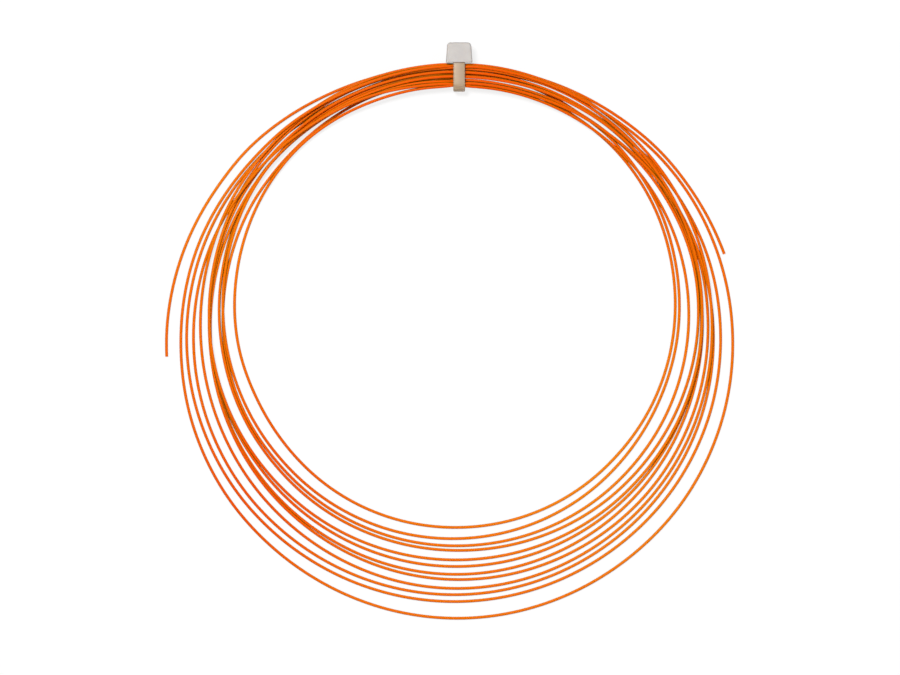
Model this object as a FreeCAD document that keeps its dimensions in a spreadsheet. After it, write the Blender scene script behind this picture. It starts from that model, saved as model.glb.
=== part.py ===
# Coil of orange tight-buffered optical fibre, bound at one place by a nylon cable tie.
#
# The coil lies flat on a surface, 12 loops and two short tails, with bare ends. Each loop passes once through
# the cable tie at the top of the coil, where the loops are gathered in three layers, and fans out into one
# layer at the bottom. The cord is a glass fibre in a soft coating in a tight plastic buffer. The part stands
# on the flat underside of the tie's strap and on the coil's lowest turns.
#
# Frame: +Z up from the surface, +X right and +Y towards the tie as the coil is seen from above. The origin is
# the middle of the whole part's outline, on the surface.

import FreeCAD, Part
import math
import os
import Sketcher
from FreeCAD import Vector

# Driving dimensions in millimetres and degrees: name, value, meaning.
# Reaches are measured from the middle of the coil to the middle of the cord.
SIZES = [
    ("buffer_wide", 0.9, "outer diameter of the cord"),
    ("coating_wide", 0.25, "diameter of the coating, and of the buffer's bore"),
    ("glass_wide", 0.125, "diameter of the glass fibre, and of the coating's bore"),
    ("least_gap", 0.4, "the cord never comes nearer to itself than this"),
    ("side_step", 1.3, "rise from one layer to the next at the coil's two sides"),
    ("tie_step", 1.2, "rise from one layer to the next inside the tie"),
    ("tie_low", 3.07, "height of the lowest of the three layers inside the tie"),
    ("tie_inner", 71.98, "reach of the innermost pass through the tie"),
    ("tie_pitch", 0.593, "spacing of the passes through the tie, seen from above"),
    ("tie_side", 0.64, "how far the tie sits to the right of the coil's middle"),
    ("cross_reach", 75.4, "reach of the first pass, which crosses under the others in the tie"),
    ("cross_height", 1.75, "height of the first pass in the tie"),
    ("cross_slope", 0.12, "how steeply the first pass heads inward in the tie"),
    ("duck_angle", 32.0, "the first pass ducks under the bundle this far either side of the top"),
    ("duck_left", 80.2, "reach of the cord where it ducks in on the left"),
    ("duck_left_slope", -0.1, "outward run of the cord there, per unit of length"),
    ("duck_right", 71.9, "reach of the cord where it comes out on the right"),
    ("duck_right_slope", -0.03, "outward run of the cord there, per unit of length"),
    ("start_reach", 88.7, "how far left of the middle the cord's first end lies"),
    ("start_below", 9.5, "how far below the middle the first end's straight run stops"),
    ("stop_side", 81.4, "how far right of the middle the cord's last end lies"),
    ("stop_above", 21.0, "how far above the middle the last end lies"),
    ("stop_lean", 19.73, "angle of the last end from straight down, in degrees"),
    ("stop_lift", 1.0, "how far the last end is lifted off the surface"),
    ("strap_wide", 3.6, "width of the tie's strap"),
    ("strap_thick", 1.1, "thickness of the strap"),
    ("loop_near", 70.15, "reach of the strap's outer face at the inside of the coil"),
    ("loop_long", 7.8, "room inside the strap's loop, along the spread of the bundle"),
    ("loop_high", 5.0, "room inside the strap's loop, upward"),
    ("bend_low_near", 1.5, "inner bend radius, low and near the coil's middle"),
    ("bend_low_far", 1.05, "inner bend radius, low and under the head"),
    ("bend_top_near", 1.3, "inner bend radius, on top and near the coil's middle"),
    ("tooth_pitch", 1.05, "spacing of the strap's teeth"),
    ("tooth_long", 0.75, "length of one tooth's slope"),
    ("tooth_high", 0.3, "height of a tooth"),
    ("tooth_first", 3.2, "place of the first tooth, from the strap's near outer face"),
    ("tooth_count", 11, "number of teeth"),
    ("groove_wide", 2.7, "width of the groove that holds the teeth"),
    ("groove_deep", 0.35, "depth of that groove"),
    ("head_wide", 8.1, "width of the head where it meets the bundle"),
    ("head_wide_far", 7.2, "width of the head at its outer end"),
    ("head_long", 6.01, "length of the head along the slot"),
    ("head_foot", 2.9, "height of the head's underside above the surface"),
    ("head_top", 8.2, "height of the head's top above the surface"),
    ("head_corner", 1.1, "radius of the head's two outer corners"),
    ("head_edge", 0.45, "radius of the head's other outer edges"),
    ("slot_wide", 3.9, "width of the slot for the strap"),
    ("slot_floor", 5.95, "height of the slot's floor"),
    ("slot_roof", 7.3, "height of the slot's roof"),
    ("chamber_wide", 2.6, "width of the chamber that the pawl swings in"),
    ("chamber_start", 10.05, "start of the chamber, from the strap's near outer face"),
    ("chamber_floor", 3.95, "height of the chamber's floor"),
    ("pivot_along", 9.85, "place of the pawl's hinge, from the strap's near outer face"),
    ("pivot_high", 5.2, "height of the pawl's hinge"),
    ("barrel_radius", 0.35, "radius of the pawl's hinge barrel"),
    ("socket_radius", 0.4, "radius of the socket that the barrel turns in"),
    ("pawl_wide", 2.4, "width of the pawl"),
    ("pawl_heel", 10.45, "start of the pawl's body, from the strap's near outer face"),
    ("pawl_low", 4.95, "height of the pawl's underside"),
    ("pawl_tip_high", 6.33, "height of the pawl's teeth"),
    ("pawl_tip_first", 11.45, "place of the pawl's first tooth, from the strap's near outer face"),
    ("pawl_drop", 0.42, "fall of the pawl's surface from one tooth to the next"),
    ("pawl_nose", 0.15, "how far the pawl's nose stands past its last tooth"),
    ("neck_thick", 0.4, "thickness of the pawl's neck"),
]

# Reaches of each loop to the right, to the bottom and to the left, from the innermost loop out.
RIGHT_REACH = [66.2, 67.6, 70.5, 72.9, 74.1, 74.7, 75.3, 76.4, 77.7, 78.3, 80.1, 83.6]
BOTTOM_REACH = [62.5, 65.9, 68.1, 69.5, 72.4, 74.4, 76.8, 78.4, 81.1, 83.0, 85.1, 90.2]
LEFT_REACH = [67.9, 71.0, 71.8, 72.7, 74.6, 75.4, 76.0, 76.9, 78.5, 80.4, 82.5, 84.4]

LAYERS = 3
PAWL_TEETH = 3
BOND_SIDES = 8


def make_sheet(doc):
    """The driving dimensions as a spreadsheet: names in column A, values in B, meanings in C.

    Columns E to H hold the three reaches of each loop.
    """
    sheet = doc.addObject("Spreadsheet::Sheet", "sizes")
    for row, (alias, value, meaning) in enumerate(SIZES, start=1):
        sheet.set(f"A{row}", alias)
        sheet.set(f"B{row}", str(value))
        sheet.set(f"C{row}", meaning)
        sheet.setAlias(f"B{row}", alias)
    reaches = {"F": ("right", RIGHT_REACH), "G": ("bottom", BOTTOM_REACH), "H": ("left", LEFT_REACH)}
    for column, (side, values) in reaches.items():
        sheet.set(f"{column}1", f"{side} reach")
        for loop, value in enumerate(values, start=1):
            sheet.set(f"E{loop + 1}", str(loop))
            sheet.set(f"{column}{loop + 1}", str(value))
            sheet.setAlias(f"{column}{loop + 1}", f"{side}_reach_{loop}")
    doc.recompute()
    return sheet


def coil_middle(size):
    """Where the coil's middle goes so that the origin is the middle of the whole part's outline."""
    radius = size("buffer_wide") / 2
    outer = len(RIGHT_REACH)
    right = size(f"right_reach_{outer}") + radius
    left = size("start_reach") + radius
    bottom = size(f"bottom_reach_{outer}") + radius
    top = size("loop_near") + head_far(size)
    return Vector((left - right) / 2, (bottom - top) / 2, 0)


def head_near(size):
    """Place of the head's near face, from the strap's near outer face."""
    return size("strap_thick") + size("loop_long")


def head_far(size):
    """Place of the head's outer face, from the strap's near outer face."""
    return head_near(size) + size("head_long")


# The cord's route

def knot(place, direction):
    """One point that the route passes, with the direction it passes in."""
    return place, direction.normalize()


def knot_at_angle(angle, reach, outward, height):
    """A knot given by its angle clockwise from the top and its reach from the middle."""
    turn = math.radians(angle)
    radial = Vector(math.sin(turn), math.cos(turn), 0)
    along = Vector(math.cos(turn), -math.sin(turn), 0)
    return knot(radial * reach + Vector(0, 0, height), along + radial * outward)


def route_knots(size):
    """The knots of the whole cord, from the left tail to the right tail, about the coil's middle.

    The cord starts outside the coil at the left, ducks under the bundle at the tie, and then winds outward.
    Each loop has a knot in the tie, at its right, at its bottom and at its left, so each pair of knots is
    about a quarter turn apart. Layers change so that neighbours never share one.
    """
    floor = size("buffer_wide") / 2
    tie = size("tie_side")
    loops = len(RIGHT_REACH)

    def side_height(layer):
        return floor + size("side_step") * (layer % LAYERS)

    def tie_reach(step):
        return size("tie_inner") + size("tie_pitch") * step

    knots = [knot(Vector(-size("start_reach"), -size("start_below"), floor), Vector(0, 1, 0))]
    duck = size("duck_angle")
    knots.append(knot_at_angle(-duck, size("duck_left"), size("duck_left_slope"), floor))
    crossing = Vector(tie, size("cross_reach"), size("cross_height"))
    knots.append(knot(crossing, Vector(1, -size("cross_slope"), 0)))
    knots.append(knot_at_angle(duck, size("duck_right"), size("duck_right_slope"), floor))

    for loop in range(loops):
        right = size(f"right_reach_{loop + 1}")
        bottom = size(f"bottom_reach_{loop + 1}")
        left = size(f"left_reach_{loop + 1}")
        in_reach = tie_reach(max(loop - 1, 0))
        out_reach = tie_reach(loop)
        right_place = Vector(right, (in_reach - bottom) / 2, side_height(loop))
        left_place = Vector(-left, (out_reach - bottom) / 2, side_height(loop + 1))
        tie_height = size("tie_low") + size("tie_step") * ((loop + 1) % LAYERS)
        knots.append(knot(right_place, Vector(0, -1, 0)))
        knots.append(knot(Vector(0, -bottom, floor), Vector(-1, 0, 0)))
        knots.append(knot(left_place, Vector(0, 1, 0)))
        knots.append(knot(Vector(tie, out_reach, tie_height), Vector(1, 0, 0)))

    lean = math.radians(size("stop_lean"))
    stop = Vector(size("stop_side"), size("stop_above"), floor + size("stop_lift"))
    knots.append(knot(stop, Vector(math.sin(lean), -math.cos(lean), 0)))
    return knots


def biarc(start, start_way, stop, stop_way):
    """Two arcs that leave start along start_way and reach stop along stop_way, as corner and end points."""
    across = stop - start
    both = start_way + stop_way
    turned = 2 * (1 - start_way.dot(stop_way))
    reach = across.dot(both)
    run = (math.sqrt(reach * reach + turned * across.dot(across)) - reach) / turned
    first_corner = start + start_way * run
    second_corner = stop - stop_way * run
    join = (first_corner + second_corner) * 0.5
    join_way = (second_corner - first_corner).normalize()
    return [(start, first_corner, join, start_way, join_way), (join, second_corner, stop, join_way, stop_way)]


def arc_through(start, corner, stop, start_way, stop_way):
    """The arc from start to stop whose two tangents meet at corner, with its radius and its turn."""
    turn = math.acos(max(-1.0, min(1.0, start_way.dot(stop_way))))
    run = (corner - start).Length
    inward = ((start + stop) * 0.5 - corner).normalize()
    crown = corner + inward * (run * math.tan(turn / 4))
    return Part.Arc(start, crown, stop).toShape(), run / math.tan(turn / 2), turn


def cord_route(size):
    """The cord's path as one wire, with the radii of its arcs. Both ends run straight for one diameter."""
    knots = route_knots(size)
    end_run = size("buffer_wide")
    first_place, first_way = knots[0]
    last_place, last_way = knots[-1]
    begin = first_place - first_way * end_run
    edges = [Part.LineSegment(begin, first_place).toShape()]
    radii = []
    for (start, start_way), (stop, stop_way) in zip(knots, knots[1:]):
        for piece in biarc(start, start_way, stop, stop_way):
            edge, radius, turn = arc_through(*piece)
            edges.append(edge)
            radii.append(radius)
    edges.append(Part.LineSegment(last_place, last_place + last_way * end_run).toShape())
    return Part.Wire(edges), begin, first_way, radii


def route_points(path, step):
    """Points along the path, no more than step apart, with the length of cord up to each."""
    points = []
    lengths = []
    run = 0.0
    for edge in path.Edges:
        count = max(2, int(edge.Length / step) + 1)
        points += edge.discretize(count + 1)[:-1]
        lengths += [run + edge.Length * index / count for index in range(count)]
        run += edge.Length
    return points, lengths


def gap_to_run(point, start, stop):
    """Distance from a point to the straight run from start to stop."""
    along = stop - start
    share = max(0.0, min(1.0, (point - start).dot(along) / along.dot(along)))
    return (point - start - along * share).Length


def least_gap(path, wide):
    """The least clear gap from the cord to itself, measured on points along its whole route."""
    step = wide / 2
    apart = 20 * wide
    cell = 2 * wide
    points, lengths = route_points(path, step)
    cells = {}
    for index, point in enumerate(points):
        key = (int(point.x // cell), int(point.y // cell), int(point.z // cell))
        cells.setdefault(key, []).append(index)
    steps = (-1, 0, 1)
    around = [(right, up, high) for right in steps for up in steps for high in steps]
    nearest = cell
    for (column, row, level), members in cells.items():
        others = []
        for right, up, high in around:
            others += cells.get((column + right, row + up, level + high), [])
        for one in members:
            for other in others:
                if other > one and other + 1 < len(points) and lengths[other] - lengths[one] > apart:
                    nearest = min(nearest, gap_to_run(points[one], points[other], points[other + 1]))
    return nearest - wide


# The cord's layers

def round_ring(place, way, wide):
    return Part.Wire(Part.Circle(place, way, wide / 2).toShape())


def flat_sided_ring(place, way, wide):
    """A closed ring of BOND_SIDES flats, as wide as given from one flat to the opposite one."""
    level = way.cross(Vector(0, 0, 1)).normalize()
    upward = level.cross(way)
    corner_reach = wide / 2 / math.cos(math.pi / BOND_SIDES)
    corners = []
    for side in range(BOND_SIDES):
        turn = 2 * math.pi * (side + 0.5) / BOND_SIDES
        corners.append(place + (level * math.cos(turn) + upward * math.sin(turn)) * corner_reach)
    return Part.makePolygon(corners + corners[:1])


def swept_skin(path, section):
    """The open skin that a closed section leaves along the path: its faces, and the rims of its two ends."""
    sweep = Part.BRepOffsetAPI.MakePipeShell(path)
    sweep.add(section)
    sweep.build()
    rims = [Part.Wire(end.Edges) for end in (sweep.firstShape(), sweep.lastShape())]
    return sweep.shape().Faces, rims


def bored_layer(path, section, bore_section):
    """One layer along the path, with a bore all the way through. Both ends are flat rings, cut square."""
    outer_faces, outer_rims = swept_skin(path, section)
    bore_faces, bore_rims = swept_skin(path, bore_section)
    ends = [Part.makeFace(list(rims), "Part::FaceMakerBullseye") for rims in zip(outer_rims, bore_rims)]
    skin = Part.makeCompound(outer_faces + bore_faces + ends)
    skin.sewShape()
    return Part.Solid(skin.Shells[0])


def add_cord_layer(doc, size, name, path, section, bore_section):
    """One layer of the cord. A sweep along a route this long is set directly, because no single feature
    makes a bored tube of it."""
    area = Part.Face(section).Area
    if bore_section:
        solid = bored_layer(path, section, bore_section)
        area -= Part.Face(bore_section).Area
    else:
        solid = path.makePipeShell([section], True, False)
    print(name, "volume over section times length:", round(solid.Volume / (area * path.Length), 5))
    layer = doc.addObject("Part::Feature", name)
    layer.Label = name
    layer.Shape = solid
    layer.Placement = FreeCAD.Placement(coil_middle(size), FreeCAD.Rotation())
    return layer


def add_cord(doc, size):
    """The cord: a glass fibre in its coating, in the buffer. Buffer and coating are bonded, and their
    shared face, which is never seen, has flats in place of a round, so that both layers stay light."""
    path, begin, way, radii = cord_route(size)
    gap = least_gap(path, size("buffer_wide"))
    print("cord length:", round(path.Length, 1))
    print("arc radii from", round(min(radii), 1), "to", round(max(radii), 1))
    print("least gap of the cord to itself:", round(gap, 3))
    if gap <= size("least_gap"):
        raise RuntimeError("the cord comes too near to itself")

    buffer_section = round_ring(begin, way, size("buffer_wide"))
    coating_section = flat_sided_ring(begin, way, size("coating_wide"))
    glass_section = round_ring(begin, way, size("glass_wide"))
    return [
        add_cord_layer(doc, size, "tight_buffer", path, buffer_section, coating_section),
        add_cord_layer(doc, size, "primary_coating", path, coating_section, glass_section),
        add_cord_layer(doc, size, "glass_fibre", path, glass_section, None),
    ]


# The cable tie, in its own frame: its middle plane is x = 0, y starts at the strap's near outer face

def origin_plane(body, role):
    """One of a body's own origin planes, such as YZ_Plane."""
    return next(item for item in body.Origin.OriginFeatures if item.Role == role)


def add_sketch(body, name, role="YZ_Plane"):
    sketch = body.newObject("Sketcher::SketchObject", name)
    sketch.AttachmentSupport = [(origin_plane(body, role), "")]
    sketch.MapMode = "FlatFace"
    return sketch


def hold_point(sketch, geometry, position, name, place):
    """Pin a point of the sketch to two expressions of the sheet, measured from the sketch's origin."""
    for kind, axis, text in (("DistanceX", "x", place[0]), ("DistanceY", "y", place[1])):
        value = float(sketch.evalExpression(text))
        index = sketch.addConstraint(Sketcher.Constraint(kind, -1, 1, geometry, position, value))
        sketch.renameConstraint(index, f"{name}_{axis}")
        sketch.setExpression(f"Constraints.{name}_{axis}", text)


def draw_outline(sketch, corners):
    """A closed outline of straight lines. Each corner is a pair of expressions of the sheet."""
    places = [Vector(float(sketch.evalExpression(a)), float(sketch.evalExpression(b)), 0) for a, b in corners]
    count = len(corners)
    for index in range(count):
        sketch.addGeometry(Part.LineSegment(places[index], places[(index + 1) % count]), False)
    for index in range(count):
        sketch.addConstraint(Sketcher.Constraint("Coincident", index, 2, (index + 1) % count, 1))
    for index, corner in enumerate(corners):
        hold_point(sketch, index, 1, f"corner_{index + 1}", corner)


def draw_circle(sketch, middle, radius):
    place = Vector(float(sketch.evalExpression(middle[0])), float(sketch.evalExpression(middle[1])), 0)
    value = float(sketch.evalExpression(radius))
    sketch.addGeometry(Part.Circle(place, Vector(0, 0, 1), value), False)
    hold_point(sketch, 0, 3, "middle", middle)
    index = sketch.addConstraint(Sketcher.Constraint("Radius", 0, value))
    sketch.renameConstraint(index, "radius")
    sketch.setExpression("Constraints.radius", radius)


def add_prism(body, kind, name, sketch, wide):
    """A pad or pocket of a sketch, the same distance to both sides of the sketch's plane."""
    feature = body.newObject(f"PartDesign::{kind}", name)
    feature.Profile = sketch
    feature.SideType = "Symmetric"
    feature.setExpression("Length", wide)
    body.Document.recompute()
    return feature


def round_edges(body, base, name, radius, wanted):
    """Fillet the edges of base for which wanted(edge) is true."""
    names = [f"Edge{index}" for index, edge in enumerate(base.Shape.Edges, start=1) if wanted(edge)]
    fillet = body.newObject("PartDesign::Fillet", name)
    fillet.Base = (base, names)
    fillet.setExpression("Radius", radius)
    body.Document.recompute()
    return fillet


def runs_across_at(along, height):
    """A test for the edges that run straight across the tie at one place along it and one height."""
    def wanted(edge):
        box = edge.BoundBox
        flat = box.YLength < 1e-6 and box.ZLength < 1e-6
        return flat and abs(box.YMin - along) < 1e-6 and abs(box.ZMin - height) < 1e-6
    return wanted


def place_tie_piece(body, size):
    """Put a piece of the tie where the tie is on the coil."""
    middle = coil_middle(size)
    place = middle + Vector(size("tie_side"), size("loop_near"), 0)
    body.Placement = FreeCAD.Placement(place, FreeCAD.Rotation())


def add_tie_strap(doc, size):
    """The strap: under the bundle from the head, up its inner side, over it and out through the head."""
    body = doc.addObject("PartDesign::Body", "tie_strap")
    body.Label = "tie_strap"
    thick = "sizes.strap_thick"
    roof = "sizes.strap_thick + sizes.loop_high"
    top = "2 * sizes.strap_thick + sizes.loop_high"
    inner_far = "sizes.strap_thick + sizes.loop_long"
    outer_far = "2 * sizes.strap_thick + sizes.loop_long"
    end = "sizes.strap_thick + sizes.loop_long + sizes.head_long"
    outline = add_sketch(body, "strap_outline")
    draw_outline(outline, [
        (outer_far, "sizes.head_foot"),
        (inner_far, "sizes.head_foot"),
        (inner_far, thick),
        (thick, thick),
        (thick, roof),
        (end, roof),
        (end, top),
        ("0", top),
        ("0", "0"),
        (outer_far, "0"),
    ])
    shape = add_prism(body, "Pad", "strap_pad", outline, "sizes.strap_wide")
    wall = size("strap_thick")
    far = head_near(size)
    ceiling = wall + size("loop_high")
    bends = [
        ("bend_low_near", wall, wall, 0.0, 0.0),
        ("bend_low_far", far, wall, far + wall, 0.0),
        ("bend_top_near", wall, ceiling, 0.0, ceiling + wall),
    ]
    for radius, inner_y, inner_z, outer_y, outer_z in bends:
        inner_name = f"{radius}_inside"
        outer_name = f"{radius}_outside"
        shape = round_edges(body, shape, inner_name, f"sizes.{radius}", runs_across_at(inner_y, inner_z))
        outer_radius = f"sizes.{radius} + sizes.strap_thick"
        shape = round_edges(body, shape, outer_name, outer_radius, runs_across_at(outer_y, outer_z))

    groove_start = "sizes.tooth_first - (sizes.tooth_pitch - sizes.tooth_long)"
    groove_top = f"{roof} + sizes.groove_deep"
    groove = add_sketch(body, "groove_outline")
    draw_outline(groove, [(groove_start, roof), (end, roof), (end, groove_top), (groove_start, groove_top)])
    add_prism(body, "Pocket", "groove_pocket", groove, "sizes.groove_wide")

    tooth = add_sketch(body, "tooth_outline")
    draw_outline(tooth, [
        ("sizes.tooth_first", groove_top),
        ("sizes.tooth_first", f"{groove_top} - sizes.tooth_high"),
        ("sizes.tooth_first + sizes.tooth_long", groove_top),
    ])
    tooth_pad = add_prism(body, "Pad", "tooth_pad", tooth, "sizes.groove_wide")
    row = body.newObject("PartDesign::LinearPattern", "tooth_row")
    row.Originals = [tooth_pad]
    row.Direction = (next(item for item in body.Origin.OriginFeatures if item.Role == "Y_Axis"), [""])
    row.setExpression("Occurrences", "sizes.tooth_count")
    row.setExpression("Length", "sizes.tooth_pitch * (sizes.tooth_count - 1)")
    body.Tip = row
    doc.recompute()
    place_tie_piece(body, size)
    return body


def add_tie_head(doc, size):
    """The head: a tapered block with rounded edges, the strap's slot, and the pawl's chamber and socket."""
    body = doc.addObject("PartDesign::Body", "tie_head")
    body.Label = "tie_head"
    near = "sizes.strap_thick + sizes.loop_long"
    far = f"{near} + sizes.head_long"
    outline = add_sketch(body, "head_outline", "XY_Plane")
    outline.setExpression("AttachmentOffset.Base.z", "sizes.head_foot")
    draw_outline(outline, [
        ("-sizes.head_wide / 2", near),
        ("sizes.head_wide / 2", near),
        ("sizes.head_wide_far / 2", far),
        ("-sizes.head_wide_far / 2", far),
    ])
    block = body.newObject("PartDesign::Pad", "head_pad")
    block.Profile = outline
    block.setExpression("Length", "sizes.head_top - sizes.head_foot")
    doc.recompute()

    outer_y = head_far(size)
    near_y = head_near(size)

    def outer_corner(edge):
        box = edge.BoundBox
        return box.ZLength > 1 and box.YLength < 1e-6 and abs(box.YMin - outer_y) < 1e-6

    def outer_rim(edge):
        box = edge.BoundBox
        return box.ZLength < 1e-6 and box.YMax > near_y + 1e-3

    corners = round_edges(body, block, "head_corners", "sizes.head_corner", outer_corner)
    round_edges(body, corners, "head_rims", "sizes.head_edge", outer_rim)

    cuts = [
        ("slot", near, far, "sizes.slot_floor", "sizes.slot_roof", "sizes.slot_wide"),
        ("chamber", "sizes.chamber_start", far, "sizes.chamber_floor", "sizes.slot_floor", "sizes.chamber_wide"),
    ]
    for name, start, stop, low, high, wide in cuts:
        sketch = add_sketch(body, f"{name}_outline")
        draw_outline(sketch, [(start, low), (stop, low), (stop, high), (start, high)])
        add_prism(body, "Pocket", f"{name}_pocket", sketch, wide)

    socket = add_sketch(body, "socket_outline")
    draw_circle(socket, ("sizes.pivot_along", "sizes.pivot_high"), "sizes.socket_radius")
    add_prism(body, "Pocket", "socket_pocket", socket, "sizes.chamber_wide")
    place_tie_piece(body, size)
    return body


def add_tie_pawl(doc, size):
    """The pawl: a tongue with saw teeth, on a barrel that turns in the head's socket."""
    body = doc.addObject("PartDesign::Body", "tie_pawl")
    body.Label = "tie_pawl"
    heel = "sizes.pawl_heel"
    low = "sizes.pawl_low"
    tip_high = "sizes.pawl_tip_high"
    valley = f"{tip_high} - sizes.pawl_drop"
    first_valley = "sizes.pawl_tip_first - sizes.tooth_pitch"
    neck_low = "sizes.pivot_high - sizes.neck_thick / 2"
    neck_high = "sizes.pivot_high + sizes.neck_thick / 2"
    corners = [("sizes.pivot_along", neck_low), (heel, neck_low), (heel, low)]
    nose = f"sizes.pawl_tip_first + {PAWL_TEETH - 1} * sizes.tooth_pitch + sizes.pawl_nose"
    corners += [(nose, low), (nose, valley)]
    for tooth in reversed(range(PAWL_TEETH)):
        tip = f"sizes.pawl_tip_first + {tooth} * sizes.tooth_pitch"
        corners += [(tip, valley), (tip, tip_high)]
    corners += [(first_valley, valley), (heel, neck_high), ("sizes.pivot_along", neck_high)]
    tongue = add_sketch(body, "tongue_outline")
    draw_outline(tongue, corners)
    add_prism(body, "Pad", "tongue_pad", tongue, "sizes.pawl_wide")
    barrel = add_sketch(body, "barrel_outline")
    draw_circle(barrel, ("sizes.pivot_along", "sizes.pivot_high"), "sizes.barrel_radius")
    add_prism(body, "Pad", "barrel_pad", barrel, "sizes.pawl_wide")
    place_tie_piece(body, size)
    return body


def check_document(doc, pieces):
    """Stop if any object failed to build, or any piece's shape is empty, invalid or not one solid."""
    for item in doc.Objects:
        if "Invalid" in item.State or "Error" in item.State:
            raise RuntimeError(f"{item.Name} failed: {item.State}")
    for piece in pieces:
        shape = piece.Shape
        if shape.isNull() or not shape.isValid() or len(shape.Solids) != 1:
            raise RuntimeError(f"{piece.Label} is not one valid solid")


def main():
    doc = FreeCAD.newDocument("fibre_coil")
    sheet = make_sheet(doc)

    def size(alias):
        return float(sheet.get(alias))

    pieces = add_cord(doc, size)
    pieces.append(add_tie_strap(doc, size))
    pieces.append(add_tie_head(doc, size))
    pieces.append(add_tie_pawl(doc, size))
    doc.recompute()
    check_document(doc, pieces)

    os.makedirs("parts", exist_ok=True)
    for piece in pieces:
        piece.Shape.exportStep(f"parts/{piece.Label}.step")
        box = piece.Shape.BoundBox
        print(piece.Label, "volume", round(piece.Shape.Volume, 3), "box", box)


main()
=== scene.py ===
# Coil of orange tight-buffered fibre, bound by a natural nylon cable tie: its looks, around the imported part.
#
# The cord is one smooth spline from end to end, wound 12 times, with bare ends cut square. The tie's strap
# is swept round the bundle with its row of teeth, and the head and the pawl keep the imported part's shapes.
# Lengths are metres where nothing else is said.

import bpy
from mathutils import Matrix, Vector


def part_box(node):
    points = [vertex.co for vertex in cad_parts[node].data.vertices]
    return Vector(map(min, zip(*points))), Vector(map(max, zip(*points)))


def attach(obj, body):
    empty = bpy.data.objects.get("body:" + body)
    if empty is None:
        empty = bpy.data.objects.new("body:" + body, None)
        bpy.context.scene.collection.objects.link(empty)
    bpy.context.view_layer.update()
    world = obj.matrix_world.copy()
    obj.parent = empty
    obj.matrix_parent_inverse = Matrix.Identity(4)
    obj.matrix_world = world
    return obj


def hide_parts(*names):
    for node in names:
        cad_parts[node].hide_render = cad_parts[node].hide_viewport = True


bl_info = {
    "name": "Fibre Coil Dresser",
    "version": (1, 0, 0),
    "blender": (4, 5, 0),
    "location": "View3D > Sidebar > Fibre Coil",
    "description": "Makes the cord, its cut ends, the tie's finish and the stage of a coil of optical fibre",
    "category": "Object",
}

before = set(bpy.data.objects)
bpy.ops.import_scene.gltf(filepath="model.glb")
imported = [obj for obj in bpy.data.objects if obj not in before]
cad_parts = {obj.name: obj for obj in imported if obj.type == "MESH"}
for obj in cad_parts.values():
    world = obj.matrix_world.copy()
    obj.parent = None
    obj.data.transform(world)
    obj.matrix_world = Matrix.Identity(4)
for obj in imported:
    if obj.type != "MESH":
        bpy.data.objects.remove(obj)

import math

import bpy
from mathutils import Vector

MM = 0.001
BUNDLE = "bundle"

# Where the tie sits on the coil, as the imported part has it, in millimetres.
TIE_SIDE = 0.5
STRAP_REACH = 70.3

# The strap's centre line, in millimetres: how far out from the strap's inner side, how high, and the radius
# of the bend there. It runs from the head's foot under the bundle, up inside the coil, and out over it
# through the head.
STRAP_LINE = ((9.45, 2.95, 0), (9.45, 0.55, 1.6), (0.55, 0.55, 2.05), (0.55, 6.65, 1.85), (15.91, 6.65, 0))

# The lengths that the strap's nodes take, the steps in each of its bends and rounded edges, and the angle
# in degrees from which an edge of it stays sharp.
STRAP_LENGTHS = ("Width", "Thickness", "Edge radius", "Groove width", "Groove depth", "Groove length",
                 "Run-on", "Tooth pitch", "Tooth length", "Tooth height")
BEND_STEPS = 10
EDGE_STEPS = 5
SHARP_ANGLE = 35

# One tooth, as shares of its own length, height and width: the flat on its top, how deep its foot goes into
# the groove's floor, and half its width with what goes into the groove's sides.
TOOTH_FLAT = 0.16
TOOTH_FOOT = 0.15
TOOTH_HALF = 0.52

# The photograph's scale, its width and height in pixels, the place of the coil's middle in it, and how high
# above the board the camera is.
MM_PER_PIXEL = 0.305
PHOTO_WIDE = 900
PHOTO_HIGH = 675
COIL_PIXEL = (457.5, 322.5)
CAMERA_UP = 3.0

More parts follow.
